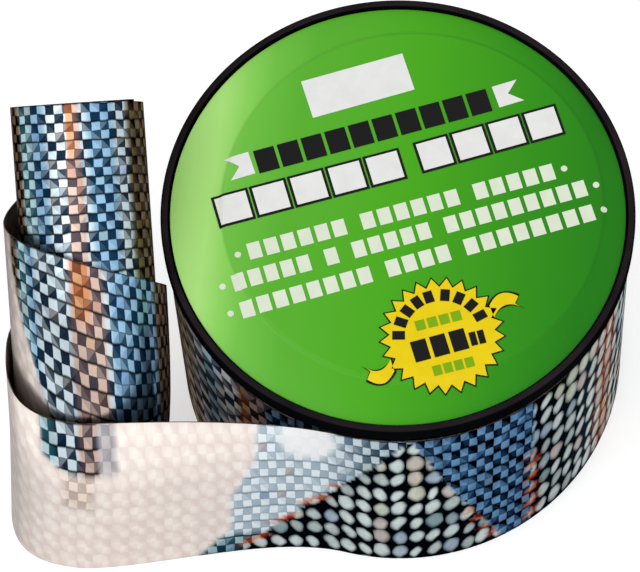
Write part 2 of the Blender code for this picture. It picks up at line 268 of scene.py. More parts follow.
class Nodes:
    """The means to wire a node tree."""

    def __init__(self, tree):
        self.tree = tree

    def feed(self, socket, value):
        """Links a socket to what another node gives, or sets it to a constant."""
        value = value.socket if isinstance(value, Number) else value
        if isinstance(value, bpy.types.NodeSocket):
            self.tree.links.new(value, socket)
        else:
            socket.default_value = value

    def node(self, kind, inputs=(), **settings):
        """Adds a node with these settings, its inputs fed by their names or places."""
        made = self.tree.nodes.new(kind)
        for setting, value in settings.items():
            setattr(made, setting, value)
        for name, value in dict(inputs).items():
            self.feed(made.inputs[name], value)
        return made

    def math(self, operation, *values, clamp=False):
        made = self.node("ShaderNodeMath", enumerate(values), operation=operation, use_clamp=clamp)
        return Number(self, made.outputs[0])

    def vector_math(self, operation, first, second, into=1, output="Vector"):
        return self.node("ShaderNodeVectorMath", {0: first, into: second}, operation=operation).outputs[output]

    def split(self, whole, kind="XYZ"):
        """The three numbers of a place, or of a colour where kind is Color."""
        return [Number(self, part) for part in self.node(f"ShaderNodeSeparate{kind}", {0: whole}).outputs]

    def join(self, *numbers):
        """A place from its coordinates; those left out are 0."""
        return self.node("ShaderNodeCombineXYZ", enumerate(numbers)).outputs[0]

    def noise(self, where, scale, detail, output="Fac"):
        made = self.node("ShaderNodeTexNoise", {"Vector": where, "Scale": scale, "Detail": detail})
        return Number(self, made.outputs[output])

    def luck(self, where):
        """A random number and a random colour for a place."""
        made = self.node("ShaderNodeTexWhiteNoise", {"Vector": where}, noise_dimensions="3D")
        return Number(self, made.outputs["Value"]), made.outputs["Color"]

    def ramp(self, share, *stops):
        """Colours by a share, from stops that each give a share and the 0 to 255 screen values there."""
        made = self.node("ShaderNodeValToRGB", {0: share})
        elements = made.color_ramp.elements
        while len(elements) < len(stops):
            elements.new(0.5)
        for element, (place, *shade) in zip(elements, stops):
            element.position = place
            element.color = (*colour(*shade), 1.0)
        return made.outputs[0]

    def spread(self, value, low, high, new_low=0.0, new_high=1.0):
        """A value's way from low to high, eased at both ends, as the way from new_low to new_high."""
        made = self.node("ShaderNodeMapRange", enumerate((value, low, high, new_low, new_high)),
                         interpolation_type="SMOOTHSTEP")
        return Number(self, made.outputs[0])

    def mix(self, share, first, second, blend_type="MIX"):
        made = self.node("ShaderNodeMix", {0: share, 6: first, 7: second}, data_type="RGBA", blend_type=blend_type)
        return made.outputs[2]

    def surface(self, output, lighting, seen):
        """Ends the tree in a surface that lights others in one way and is seen in another."""
        rays = self.node("ShaderNodeLightPath").outputs
        sight = self.math("ADD", rays["Is Camera Ray"], rays["Is Glossy Ray"], clamp=True)
        sight = self.math("ADD", sight, rays["Is Transmission Ray"], clamp=True)
        choice = self.node("ShaderNodeMixShader", {0: sight, 1: lighting, 2: seen})
        self.feed(self.tree.nodes[output].inputs["Surface"], choice.outputs[0])


class Finish(Nodes):
    """A material and the means to wire it."""

    def __init__(self, name, roughness, metallic=0.0, shine=0.3):
        self.material = bpy.data.materials.new(name)
        self.material.use_nodes = True
        super().__init__(self.material.node_tree)
        self.shader = self.tree.nodes["Principled BSDF"]
        for setting, value in (("Roughness", roughness), ("Metallic", metallic), ("Specular IOR Level", shine)):
            self.set(setting, value)

    def set(self, name, value):
        self.feed(self.shader.inputs[name], value)

    def place(self):
        return self.node("ShaderNodeTexCoord").outputs["Object"]

    def attribute(self, name):
        return self.node("ShaderNodeAttribute", attribute_name=name).outputs["Color"]

    def bump(self, height, strength, distance):
        made = self.node("ShaderNodeBump", {"Height": height, "Strength": strength, "Distance": distance})
        self.set("Normal", made.outputs[0])


def moulded_black():
    """Satin black moulding: fine grain, a few rubbed places, and a painted highlight that makes the crown of the
    raised rim paler.
    """
    finish = Finish("moulded_black", 0.32, shine=0.0)
    where = finish.place()
    rubbed = finish.noise(where, 90, 4)
    plain = finish.ramp(rubbed, (0.3, 6, 7, 10), (0.62, 11, 12, 15), (0.85, 22, 22, 25))
    # Painted highlight: the crown of the rim is painted paler, for the light that falls on its top
    painted_crown_light = finish.ramp(rubbed, (0.3, 28, 24, 27), (0.7, 46, 39, 42))
    crown = finish.spread(finish.split(where)[2], RIM_TOP - 0.16 * MM, RIM_TOP - 0.02 * MM)
    finish.set("Base Color", finish.mix(crown, plain, painted_crown_light))
    finish.set("Roughness", finish.spread(rubbed, 0.3, 0.8, 0.26, 0.46))
    finish.bump(finish.noise(where, 2600, 2), 0.12, 0.05 * MM)
    return finish.material


def brown_board():
    """Core board: spiral plies of brown paper."""
    finish = Finish("brown_board", 0.85)
    lengthened = finish.node("ShaderNodeMapping", {"Vector": finish.place(), "Scale": (1, 1, 0.2)})
    fibres = finish.noise(lengthened.outputs[0], 700, 5)
    finish.set("Base Color", finish.ramp(fibres, (0.3, 150, 116, 80), (0.7, 190, 156, 116)))
    finish.bump(fibres, 0.3, 0.1 * MM)
    return finish.material


def printed_green():
    """Glossy print whose green deepens from the left towards the right, more so on the brim: partly the print's own
    green, partly painted glare on the left and painted highlight and shade on the brim.
    """
    finish = Finish("printed_green", 0.3, shine=0.14)
    where = finish.place()
    x, y, _ = finish.split(where)
    apart = finish.vector_math("DISTANCE", where, (*PLATEAU_SHIFT, LABEL_TOP), output="Value")
    brim = finish.spread(apart, PLATEAU_RADIUS - 0.1 * MM, PLATEAU_RADIUS + PLATEAU_SLOPE)
    # Partly print, partly painted light: painted glare makes the left and the back paler, and the brim is painted
    # paler on the left and deeper on the right as its highlight and shade
    depth = finish.math("ADD", x * 14.5 + y * -3.0 + 0.5, brim * (x * 2.8), clamp=True)
    depth = finish.math("ADD", depth, (finish.noise(where, 34, 3) - 0.5) * 0.08, clamp=True)
    finish.set("Base Color", finish.ramp(
        depth, (0.0, 184, 244, 134), (0.06, 150, 226, 100), (0.13, 120, 206, 74), (0.25, 96, 188, 50),
        (0.5, 78, 180, 26), (0.8, 50, 152, 20), (1.0, 34, 130, 17)))
    finish.bump(finish.noise(where, 900, 2), 0.04, 0.03 * MM)
    return finish.material


def print_ink(name, shade):
    """An ink on the label, slightly uneven."""
    finish = Finish(name, 0.35, shine=0.12)
    patches = finish.noise(finish.place(), 420, 3)
    finish.set("Base Color", finish.ramp(patches, (0.3, *(value * 0.97 for value in shade)), (0.7, *shade)))
    finish.bump(patches, 0.05, 0.02 * MM)
    return finish.material


def wound_edges():
    """The edges of the tight turns, as fine rings round the core."""
    finish = Finish("wound_edges", 0.4, 0.7)
    x, y, _ = finish.split(finish.place())
    rings = finish.noise(finish.join(finish.math("SQRT", x * x + y * y)), 9000, 2)
    finish.set("Base Color", finish.ramp(rings, (0.3, 60, 66, 72), (0.7, 200, 206, 210)))
    finish.bump(rings, 0.5, 0.05 * MM)
    return finish.material


def film_edge():
    """The cut edge of the film, dark against its faces."""
    finish = Finish("film_edge", 0.5, shine=0.1)
    streaks = finish.noise(finish.place(), 800, 2)
    finish.set("Base Color", finish.ramp(streaks, (0.35, 44, 34, 30), (0.65, 112, 92, 80)))
    return finish.material


def facet_film():
    """Metallised film pressed with small square facets, each one split across its corners.

    The uv map "facets" counts facets along and across the film. The attributes "lit" and "unlit" hold
    the two shades that the facets take there, and "cut" how strongly they differ (red), how far they
    run together into beads (green) and how often one takes an odd hue (blue).
    """
    metallic = 0.93
    finish = Finish("facet_film", 0.33, metallic, shine=0.0)
    finish.set("Specular Tint", (0.22, 0.22, 0.24, 1.0))

    # Duller down the roll's left and right sides, where its facets show crisper
    x, y, _ = finish.split(finish.place())
    sides = finish.spread(abs(x), 20 * MM, 31 * MM) * finish.spread(y, -32 * MM, -26 * MM)
    not_ringlet = finish.math("GREATER_THAN", x, -38.5 * MM)
    finish.set("Metallic", metallic - sides * not_ringlet * 0.78)

    # The pressing isn't quite even
    uv = finish.node("ShaderNodeUVMap", uv_map="facets").outputs[0]
    contrast, beads, motley = finish.split(finish.attribute("cut"), "Color")
    drift = finish.vector_math("SUBTRACT", finish.noise(uv, 0.55, 1.5, "Color"), (0.5, 0.5, 0.5))
    drift = finish.vector_math("SCALE", drift, beads * 0.25 + 0.45, into="Scale")
    along, across, _ = finish.split(finish.vector_math("ADD", uv, drift))
    column, row = (finish.math("FLOOR", count) for count in (along, across))
    x, y = (finish.math("FRACT", count) for count in (along, across))
    chance, chance_hue = finish.luck(finish.join(column, row))
    tilt_x, turned, tilt_y = finish.split(chance_hue, "Color")
    odd = finish.math("PINGPONG", column + row, 1.0)

    # One corner of each facet is turned away from the other, and that half is painted in another shade
    which = finish.math("GREATER_THAN", turned, 0.5)
    corner = finish.spread(which * (x + y - 1.0) + (1.0 - which) * (x - y), -0.06, 0.06)

    # Square facets: light and dark in turn, with odd ones among them
    square = finish.spread(odd * 0.6 + corner * 0.18 + chance * 0.4, 0.22, 0.9)

    # Beads: four facets together, as a long light drop that leans one way, and from one place on the other
    block_x, block_y = along * 0.5, across * 0.5
    leaning = finish.math("LESS_THAN", block_x, BEADS_TURN_AT) * 2.0 - 1.0
    cell = (finish.math("FLOOR", block) for block in (block_x, block_y))
    other_luck = 5.0
    bead_chance, bead_hue = finish.luck(finish.join(*cell, other_luck))
    aside, slim, small = finish.split(bead_hue, "Color")
    bead_x = finish.math("FRACT", block_x) - finish.spread(aside, 0.0, 1.0, 0.42, 0.58)
    bead_y = (finish.math("FRACT", block_y) - finish.spread(small, 0.0, 1.0, 0.42, 0.58)) * leaning
    long_way = (bead_x + bead_y) * 1.3
    short_way = (bead_x - bead_y) * finish.spread(slim, 0.0, 1.0, 1.35, 2.0)
    reach = (abs(long_way) ** 2.4 + abs(short_way) ** 2.4) * finish.spread(small, 0.0, 1.0, 0.9, 1.6)
    bead = finish.spread(reach, 0.05, 1.2, 1.0, 0.0)
    bead = bead * finish.spread(bead_chance, 0.0, 0.6, 0.68, 1.0) * finish.spread(chance, 0.0, 1.0, 0.86, 1.0)

    # The two shades, with an odd hue over a few facets or beads
    light = square * (1.0 - beads) + bead * beads
    light = finish.math("ADD", (light - 0.5) * contrast, 0.5, clamp=True)
    shade = finish.mix(light, finish.attribute("unlit"), finish.attribute("lit"))
    which_hue, how_rare, _ = finish.split(finish.mix(beads, chance_hue, bead_hue), "Color")
    hue = finish.ramp(which_hue, (0.0, 120, 190, 200), (0.3, 150, 175, 235), (0.55, 235, 220, 150),
                      (0.8, 230, 150, 110), (1.0, 200, 110, 110))
    chosen = finish.math("LESS_THAN", how_rare, motley * (beads * 1.4 + 1.0))
    shade = finish.mix(chosen * 0.38, shade, hue, "MULTIPLY")

    # Dark joints between strongly lit facets: faint ones, and a strong one along every second row
    edge_x, edge_y = (finish.math("MINIMUM", part, 1.0 - part) for part in (x, y))
    joint = finish.spread(edge_x, 0.0, 0.08, 0.55, 1.0) * finish.spread(edge_y, 0.0, 0.09, 0.5, 1.0)
    joint = joint * finish.spread(finish.math("PINGPONG", across, 1.0), 0.02, 0.2, 0.22, 1.0)
    bare = finish.spread(contrast, 0.78, 1.0) * (1.0 - beads)
    finish.set("Base Color", finish.mix(1.0, shade, (joint - 1.0) * bare + 1.0, "MULTIPLY"))
    finish.bump(x * (tilt_x - 0.5) + y * (tilt_y - 0.5), 0.5, 0.12 * MM)
    return finish.material


# Spool

def add_boss_and_ribs(flange, under):
    """Joins the hub's boss and its three crossing ribs to the flange, in the pocket above that height."""
    low, high = under + RIB_SETBACK, under + POCKET_DEPTH + RIB_ROOT
    added = [start_disc("hub_boss", BOSS_RADIUS, low, high, BOSS_SIDES)]
    for turn in range(3):
        clear_selection()
        bpy.ops.mesh.primitive_cube_add(size=1, location=(0, 0, (low + high) / 2), rotation=(0, 0, turn * 60 * DEG))
        bpy.context.object.scale = (2 * (POCKET_RADIUS + RIB_ROOT), RIB_THICKNESS, high - low)
        added.append(start_piece("hub_rib"))
    clear_selection()
    for tool in added:
        apply_modifier(flange, "BOOLEAN", operation="UNION", solver="EXACT", object=tool)
        bpy.data.objects.remove(tool, do_unlink=True)


def make_front_flange(surface):
    """Disc with a raised rim round the label's seat, a plateau in the seat and a plug below."""
    flange = start_disc("rimmed_flange", FRONT_RADIUS, FRONT_UNDERSIDE, RIM_TOP)
    pick_level_faces(flange, 1)
    step_in(RIM_RING, FRONT_FACE - RIM_TOP)
    bpy.ops.mesh.inset(thickness=FRONT_RADIUS - RIM_RING - PLATEAU_RADIUS - PLATEAU_SLOPE)
    bpy.ops.mesh.inset(thickness=PLATEAU_SLOPE, depth=PLATEAU_RISE)
    hub_under = FRONT_FACE + PLATEAU_RISE - HUB_WEB
    tip = FRONT_UNDERSIDE - SPIGOT_DEPTH
    pick_level_faces(flange, -1)
    step_in(FRONT_RADIUS - SPIGOT_RADIUS, -SPIGOT_DEPTH)
    step_in(SPIGOT_WALL, hub_under - tip)
    step_in(SPIGOT_RADIUS - SPIGOT_WALL - POCKET_RADIUS, POCKET_DEPTH)
    round_edges(flange, (FRONT_RADIUS, RIM_TOP, RIM_ROUND, 5), (FRONT_RADIUS, FRONT_UNDERSIDE, RIM_ROUND, 5),
                (FRONT_RADIUS - RIM_RING, RIM_TOP, RIM_INNER_ROUND, 4),
                (FRONT_RADIUS - RIM_RING, FRONT_FACE, RIM_FOOT_ROUND, 3), (SPIGOT_RADIUS, tip, SPIGOT_CHAMFER, 1))
    clear_selection()
    add_boss_and_ribs(flange, hub_under)
    finish_piece(flange, surface, "spool")
    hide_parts("front_flange")


def make_rear_flange(surface):
    """Thin disc with a plug for the core; its hub is ribbed on the outside."""
    flange = start_disc("foot_flange", REAR_RADIUS, 0, REAR_THICKNESS)
    tip = REAR_THICKNESS + SPIGOT_DEPTH
    pick_level_faces(flange, 1)
    step_in(REAR_RADIUS - SPIGOT_RADIUS, SPIGOT_DEPTH)
    step_in(SPIGOT_WALL, HUB_WEB - tip)
    pick_level_faces(flange, -1)
    step_in(REAR_RADIUS - POCKET_RADIUS, POCKET_DEPTH)
    round_edges(flange, (REAR_RADIUS, REAR_THICKNESS, REAR_EDGE_ROUND, 4), (REAR_RADIUS, 0, REAR_EDGE_ROUND, 4),
                (POCKET_RADIUS, 0, POCKET_ROUND, 3), (SPIGOT_RADIUS, tip, SPIGOT_CHAMFER, 1))
    clear_selection()
    add_boss_and_ribs(flange, 0)
    finish_piece(flange, surface, "spool")
    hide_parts("rear_flange")


def make_label(surface):
    """Round printed label that follows the plateau in its seat."""
    label = start_disc("round_label", LABEL_RADIUS, LABEL_BOTTOM, LABEL_TOP)
    for way in (1, -1):
        pick_level_faces(label, way)
        bpy.ops.mesh.inset(thickness=LABEL_RADIUS - PLATEAU_RADIUS - PLATEAU_SLOPE)
        bpy.ops.mesh.inset(thickness=PLATEAU_SLOPE, depth=PLATEAU_RISE * way)
    step_foot = PLATEAU_RADIUS + PLATEAU_SLOPE
    round_edges(label, (PLATEAU_RADIUS, LABEL_TOP + PLATEAU_RISE, LABEL_STEP_ROUND, 4),
                (step_foot, LABEL_TOP, LABEL_STEP_ROUND, 4), (LABEL_RADIUS, LABEL_TOP, LABEL_EDGE_ROUND, 2))
    pick_edges(label, lambda point: point.xy.length < step_foot + STEP_MARGIN)
    bpy.ops.transform.translate(value=(*PLATEAU_SHIFT, 0))
    finish_piece(label, surface, "spool", 60 * DEG)
    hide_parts("front_label")
    return label


def make_winding(film, edges):
    """The tight turns of film round the core, as one ring."""
    winding = start_disc("tight_turns", WINDING_RADIUS, WINDING_BOTTOM, WINDING_TOP, WINDING_SIDES)
    pick(winding, "FACE", lambda face: abs(face.normal.z) > 0.9)
    bpy.ops.mesh.inset(thickness=WINDING_RADIUS - WINDING_BORE)
    pick(winding, "FACE", lambda face: face.calc_center_median().xy.length < 1 * MM)
    bpy.ops.mesh.bridge_edge_loops()
    clear_selection()
    winding.data.materials.append(film)
    winding.data.materials.append(edges)
    facets = winding.data.uv_layers.new(name="facets")
    for face in winding.data.polygons:
        face.material_index = 1 if abs(face.normal.z) > 0.5 else 0
        middle = math.atan2(face.center.y, face.center.x)
        for corner in face.loop_indices:
            point = winding.data.vertices[winding.data.loops[corner].vertex_index].co
            angle = math.atan2(point.y, point.x)
            angle += 2 * math.pi * round((middle - angle) / (2 * math.pi))
            facets.data[corner].uv = (angle * WINDING_RADIUS / FACET, point.z / UPRIGHT_FACET)
    paint_looks(winding.data, [look_of_turn(math.atan2(vertex.co.y, vertex.co.x)) for vertex in winding.data.vertices])
    finish_piece(winding, film, "spool")
    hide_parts("tape_winding")


# Label print

def lay_print(pieces, name, label, surface, lift):
    """Joins the flat shapes of one ink and drapes them on the label, lifted by a hair."""
    clear_selection()
    for piece in pieces:
        piece.select_set(True)
    joined = bpy.context.view_layer.objects.active = pieces[0]
    bpy.ops.object.join()
    joined.name = joined.data.name = name
    apply_modifier(joined, "SHRINKWRAP", target=label, wrap_method="PROJECT", use_project_z=True,
                   use_negative_direction=True, use_positive_direction=False, offset=lift)
    apply_modifier(joined, "SOLIDIFY", thickness=INK_THICKNESS, offset=1.0)
    finish_piece(joined, surface, "spool")


def heading(angle):
    """The level way that an angle points."""
    return Vector((math.cos(angle), math.sin(angle)))


def start_round(name, centre, radius, sides, turn=0.0):
    """Adds a flat round piece above the label and opens it for editing."""
    clear_selection()
    bpy.ops.mesh.primitive_circle_add(vertices=sides, radius=radius, fill_type="TRIFAN",
                                      location=(*centre, RIM_TOP), rotation=(0, 0, turn))
    return start_piece(name)


def close_flat(piece, cuts):
    """Cuts a flat piece finer, so that it can lie over the label's step, and closes its editing."""
    bpy.ops.mesh.select_all(action="SELECT")
    bpy.ops.mesh.subdivide(number_cuts=cuts)
    clear_selection()
    return piece


def flat_block(centre, width, height, angle, cuts=5):
    """A flat block above the label."""
    clear_selection()
    bpy.ops.mesh.primitive_plane_add(size=1, location=(*centre[:2], RIM_TOP), rotation=(0, 0, angle))
    bpy.context.object.scale = (width, height, 1)
    block = start_piece("block")
    reach = [(vertex.co.xy - Vector(PLATEAU_SHIFT)).length for vertex in block.data.vertices]
    if max(reach) > PLATEAU_RADIUS - STEP_MARGIN:
        cuts = math.ceil(max(width, height) / STEP_CUT)
    return close_flat(block, cuts)


def row_of_blocks(groups, centre, length, height, angle, grow=0.0, fill=0.8):
    """Plain blocks in groups along a line, as a stand-in for a line of print; all in mm and degrees."""
    centre, (length, height, grow), angle = mm(*centre), mm(length, height, grow), angle * DEG
    pitch = length / (sum(groups) + (len(groups) - 1) * GROUP_GAP)
    place, blocks = 0.0, []
    for group in groups:
        for _ in range(group):
            middle = Vector(centre) + heading(angle) * ((place + 0.5) * pitch - length / 2)
            blocks.append(flat_block(middle, pitch * fill + 2 * grow, height + 2 * grow, angle))
            place += 1
        place += GROUP_GAP
    return blocks


def pennant(centre, width, height, angle, notch_side, notch=0.5, arch=0.0):
    """A flat block with a notch in one short side, arched up or down; all in mm and degrees."""
    centre, (width, height, arch), angle = mm(*centre), mm(width, height, arch), angle * DEG
    block = flat_block(centre, width, height, angle, 11)
    along = heading(angle)
    up = Vector((-along.y, along.x))
    for vertex in block.data.vertices:
        place = vertex.co.xy - Vector(centre)
        side = place.dot(along) / (width / 2)
        depth = (1 - abs(place.dot(up)) / (height / 2)) * notch * width * max(0.0, side * notch_side)
        vertex.co.xy += up * arch * (1 - side ** 2) - along * notch_side * depth
    return block


def starburst(centre, radius, teeth, depth, turn):
    """A flat disc whose edge is cut into teeth, one of them at that angle."""
    def between_teeth(vertex):
        place = vertex.co.xy - Vector(centre)
        step = round((math.atan2(place.y, place.x) - turn) / (math.pi / teeth))
        return place.length > radius / 2 and step % 2

    burst = start_round("burst", centre, radius, 2 * teeth, turn - math.pi / 2)
    pick(burst, "VERT", between_teeth)
    bpy.ops.transform.resize(value=(1 - depth, 1 - depth, 1), center_override=(*centre, RIM_TOP))
    return close_flat(burst, 18)


def make_print(label):
    """Plain blocks, pennants and a starburst in the places of the label's print."""
    white, cream, black, yellow, green = (print_ink(f"{name}_ink", shade) for name, shade in (
        ("white", (250, 251, 248)), ("cream", (240, 250, 226)), ("black", (18, 18, 19)),
        ("yellow", (254, 224, 20)), ("green", (136, 186, 20))))
    low, middle, high = LIFTS

    title = (((5,), (-13.1, 4.9), 29.9, 5.4, 11.9), ((4,), (14.8, 11.1), 23.1, 5.4, 12.7))
    for name, ink, lift, grow in (("title_border", black, low, 0.0), ("title_blocks", white, middle, -0.42)):
        lay_print([block for row in title for block in row_of_blocks(*row, grow, 0.96)], name, label, ink, lift)
    lay_print(row_of_blocks((10,), (-2.8, 13.7), 37.6, 3.9, 12.3, fill=0.86), "dark_blocks", label, black, low)
    lay_print([pennant((-23.5, 9.3), 3.9, 3.8, 14, -1), pennant((18.3, 18.5), 4.0, 3.7, 14, 1),
               *row_of_blocks((1,), (-4.6, 21.6), 16.3, 6.5, 13, fill=1.0)], "white_flags", label, white, low)

    lines = []
    for groups, centre, length, angle in (((6, 6, 5), (0.6, -0.1), 48.8, 11.9),
                                          ((5, 1, 5, 9), (1.6, -4.1), 56.2, 12.2),
                                          ((8, 4, 8), (2.5, -8.4), 56.1, 12.6)):
        lines += row_of_blocks(groups, centre, length, 2.7, angle, fill=0.76)
        for side in (-1, 1):
            dot_at = Vector(mm(*centre)) + heading(angle * DEG) * side * (length / 2 + 1.3) * MM
            lines.append(close_flat(start_round("dot", dot_at, 0.5 * MM, 24), 1))
    lay_print(lines, "cream_lines", label, cream, low)

    burst = (5.2, -20.8)
    for name, ink, lift, radius, tooth, right, left, tail in (
            ("burst_border", black, low, 9.62, 0.15, 5.2, 4.8, 2.5),
            ("burst_field", yellow, middle, 9.27, 0.155, 4.6, 4.2, 2.0)):
        lay_print([starburst(mm(*burst), radius * MM, 25, tooth, 96 * DEG),
                   pennant((15.1, -16.9), right, tail, 16, 1, 0.2, 1.3),
                   pennant((-4.6, -25.5), left, tail, 13, -1, 0.2, -1.3)], name, label, ink, lift)
    arc = []
    for angle in (176, 157, 139, 121, 104, 82, 63, 44, 25):
        centre = mm(burst[0] + 6.5 * math.cos(angle * DEG), burst[1] + 6.5 * math.sin(angle * DEG))
        arc.append(flat_block(centre, 1.4 * MM, 1.9 * MM, (angle - 90) * DEG, 2))
    arc += row_of_blocks((3,), (4.7, -22.4), 8.9, 3.4, 12) + row_of_blocks((2,), (10.4, -21.6), 2.5, 2.2, 10)
    lay_print(arc, "burst_blocks", label, black, high)
    lay_print(row_of_blocks((4,), (4.8, -18.4), 7.4, 1.6, 11) + row_of_blocks((4,), (6.5, -25.9), 6.6, 1.6, 11),
              "burst_green", label, green, high)


# Loose film

def smooth_step(share):
    """0 below 0, 1 above 1, and level at both ends."""
    share = np.clip(share, 0.0, 1.0)
    return share * share * (3 - 2 * share)


def curve(share, start, start_way, end, end_way):
    """Point part of the way along the smooth curve between two points with these ways at them."""
    t = share
    return ((2 * t**3 - 3 * t**2 + 1) * start + (t**3 - 2 * t**2 + t) * start_way
            + (3 * t**2 - 2 * t**3) * end + (t**3 - t**2) * end_way)


def smooth_table(table, at):
    """Value at a place in a rising table, along a curve that never overshoots its points."""
    places, values = zip(*table)
    slopes = [(values[i + 1] - values[i]) / (places[i + 1] - places[i]) for i in range(len(table) - 1)]
    tangents = [slopes[0]]
    for before, after in zip(slopes, slopes[1:]):
        level = before * after <= 0
        tangents.append(0.0 if level else 2 * before * after / (before + after))
    tangents.append(slopes[-1])
    at = min(max(at, places[0]), places[-1])
    spot = min(int(np.searchsorted(places, at, side="right")) - 1, len(table) - 2)
    span = places[spot + 1] - places[spot]
    return curve((at - places[spot]) / span, values[spot], span * tangents[spot], values[spot + 1],
                 span * tangents[spot + 1])


def lean_and_sway(length):
    """How far the ringlet's axis leans back and sideways, at a length along it."""
    bent = smooth_step((length - BEND_START) / (BEND_END - BEND_START))
    return BASE_LEAN + (TOP_LEAN - BASE_LEAN) * bent, BASE_SWAY + (TOP_SWAY - BASE_SWAY) * bent


class Ringlet:
    """The wall that the film winds up on, round a curved axis measured by length from the floor."""

    def __init__(self):
        self.lengths = np.linspace(-RINGLET_RADIUS, 2 * TAPE_WIDTH + RINGLET_RISE, AXIS_STEPS)
        self.lean, self.sway = lean_and_sway(self.lengths)
        ahead = np.stack([np.sin(self.sway), np.cos(self.sway) * np.sin(self.lean),
                          np.cos(self.sway) * np.cos(self.lean)], axis=1)
        step = self.lengths[1] - self.lengths[0]
        path = np.vstack([np.zeros(3), np.cumsum((ahead[1:] + ahead[:-1]) / 2 * step, axis=0)])
        floor = np.array([np.interp(0.0, self.lengths, path[:, k]) for k in range(3)])
        self.path = path - floor + np.array([RINGLET_X, RINGLET_Y, FILM_FLOOR_GAP])
        along, foot = self.wall(RISE_START_TURN)
        self.first_top = float(np.interp(foot + TAPE_WIDTH, along, self.lengths))
        self.facets = np.cumsum(np.sin(FACET_SPREAD + self.lean)) * step / FACET

    def radius(self, turn):
        """Radius of the wall at a turn."""
        taper = (RINGLET_RADIUS - RINGLET_TOP_RADIUS) * smooth_table(TAPER_SHARES, turn)
        corner = CORNER_BULGE * smooth_step(1 - abs(turn - CORNER_TURN) / CORNER_REACH)
        return RINGLET_RADIUS - taper + corner

    def wall(self, turn):
        """Distances up the wall at the axis lengths, and the distance where it meets the floor."""
        angle, radius = 2 * math.pi * turn, self.radius(turn)
        along = self.lengths + radius * (math.cos(angle) * self.lean + math.sin(angle) * self.sway)
        floor = -radius * (math.cos(angle) * math.tan(BASE_LEAN) + math.sin(angle) * math.tan(BASE_SWAY))
        return along, float(np.interp(floor, self.lengths, along))

    def point(self, length, turn):
        """Point of the wall; turn 0 faces the front (-Y) and a quarter turn faces -X."""
        centre = np.array([np.interp(length, self.lengths, self.path[:, k]) for k in range(3)])
        lean, sway = lean_and_sway(length)
        front = np.array([0.0, -math.cos(lean), math.sin(lean)])
        left = np.array([-math.cos(sway), math.sin(lean) * math.sin(sway), math.cos(lean) * math.sin(sway)])
        angle = 2 * math.pi * turn
        return centre + self.radius(turn) * (math.cos(angle) * front + math.sin(angle) * left)

    def row(self, turn):
        """Points across the film, bottom edge first, and how many facets lie above each."""
        along, low = self.wall(turn)
        high = low + TAPE_WIDTH
        if turn > RISE_START_TURN:
            top = self.first_top + RINGLET_RISE * smooth_table(RISE_SHARES, turn)
            high = float(np.interp(top, self.lengths, along))
            climb = RINGLET_PITCH / (2 * math.pi * self.radius(turn)) * smooth_step(turn / RISE_START_TURN - 1)
            low = max(high - TAPE_WIDTH * math.hypot(1, climb), low)
        places = np.linspace(low, high, WIDTH_STEPS + 1)
        lengths = [float(np.interp(place, along, self.lengths)) for place in places]
        counts = np.interp(lengths, self.lengths, self.facets)
        return [self.point(length, turn) for length in lengths], counts[-1] - counts


def turn_row(share):
    """Points across the film on its loose turn round the spool."""
    angle = TURN_START + (TURN_LEAVES - TURN_START) * share
    points = []
    for step in range(WIDTH_STEPS + 1):
        up = step / WIDTH_STEPS
        radius = TURN_RADIUS + SKIRT * (1 - up) * smooth_step(share / SKIRT_BUILDS_UP_SHARE)
        points.append(np.array([radius * math.cos(angle), radius * math.sin(angle),
                                FILM_FLOOR_GAP + TAPE_WIDTH * up]))
    return points


def run_row(start, start_way, end, end_way, share):
    """Points across the film on its free run from the spool to the ringlet."""
    points = []
    for step in range(WIDTH_STEPS + 1):
        span = np.linalg.norm(end[step] - start[step]) * RUN_PULL_SHARE
        points.append(curve(share, start[step], span * start_way, end[step], span * end_way[step]))
    return points


# The film's looks

def look(lit, unlit, contrast=1.0, beads=0.0, motley=0.1):
    """How the film looks in one place: its "lit" and "unlit" shades, and its "cut"."""
    return colour(*lit), colour(*unlit), (contrast, beads, motley)


CHECKS = look((196, 211, 219), (24, 40, 56))
SKY_CHECKS = look((140, 180, 210), (18, 46, 70), motley=0.12)
SEA_CHECKS = look((168, 200, 206), (44, 78, 90), motley=0.2)
COPPER = look((206, 154, 114), (122, 68, 38), 0.95, motley=0.3)
MAUVE = look((196, 172, 160), (74, 65, 72), motley=0.15)
OLIVE = look((134, 112, 92), (28, 21, 19), 1.0, 0.2, 0.3)
BROWN = look((134, 118, 100), (32, 25, 22), 1.0, 0.2, 0.3)
# Painted reflection: the pale looks make the roll's left side bright with the white surroundings that its facets
# mirror
PALE_CHECKS = look((255, 255, 255), (24, 44, 60))
PALE_SKY = look((206, 240, 255), (22, 54, 82), motley=0.12)
PALE_BROWN = look((236, 212, 184), (44, 32, 28), 1.0, 0.2, 0.3)
# Painted reflection: the washed looks are the film made pale by the white surroundings that it mirrors
WASHED = look((255, 248, 240), (232, 217, 211), 0.8, 0.6, 0.0)
WASHED_DIM = look((224, 214, 206), (190, 179, 172), 0.75, 0.6, 0.0)
FADED = look((198, 194, 196), (150, 146, 150), 0.8, 0.2, 0.05)
FAINT = look((250, 234, 220), (196, 182, 172), 0.85, 0.0, 0.05)
HAZE = look((240, 250, 255), (172, 192, 204), 0.9, 0.0, 0.03)
GLARE = look((255, 255, 255), (244, 247, 250), 0.5, 0.0, 0.0)
BEADS = look((226, 238, 235), (8, 31, 42), 1.0, 1.0, 0.14)
BLUE_TILES = look((128, 168, 206), (2, 12, 22), 1.0, 0.2, 0.12)
GREY_TILES = look((196, 214, 224), (44, 66, 82), 0.95, 0.0, 0.1)
EMBER = look((236, 196, 168), (186, 74, 36), 1.0, 0.6, 0.2)


def bands(*held):
    """A table of (place, look) from looks, each with the one or two places that it holds at or between."""
    return [(place, here) for here, *places in held for place in places]
